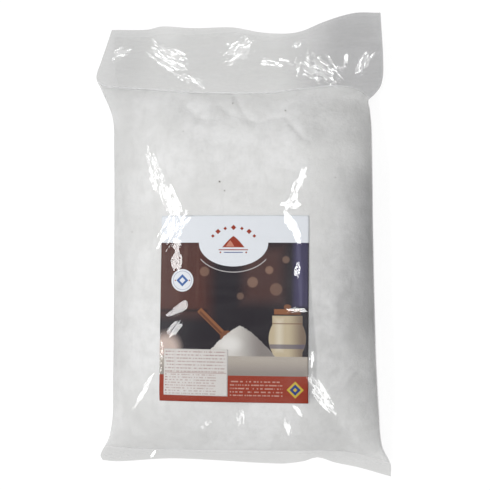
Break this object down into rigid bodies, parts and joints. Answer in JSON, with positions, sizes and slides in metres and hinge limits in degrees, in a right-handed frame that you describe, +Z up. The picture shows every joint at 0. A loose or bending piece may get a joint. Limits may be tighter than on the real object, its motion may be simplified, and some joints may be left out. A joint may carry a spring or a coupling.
{
  "type": "sack of salt",
  "caption": "Clear film sack plump with fine white salt, lying on its back: narrow flat hem, long flat header past a weld, printed paper label under the film.",
  "frame": {"origin": "middle of the footprint, on the surface that the sack lies on", "axes": "+X across the sack, +Y along it towards the header, +Z up through the label"},
  "size_m": [0.3579, 0.5548, 0.0762],
  "materials": {
    "film": "clear thin film, glossy, creased",
    "salt": "fine white grains, matt",
    "paper": "coated printed paper, satin"
  },
  "bodies": {
    "root": {"sack": "film", "label_card": "paper", "sticker": "paper"}
  },
  "joints": []
}
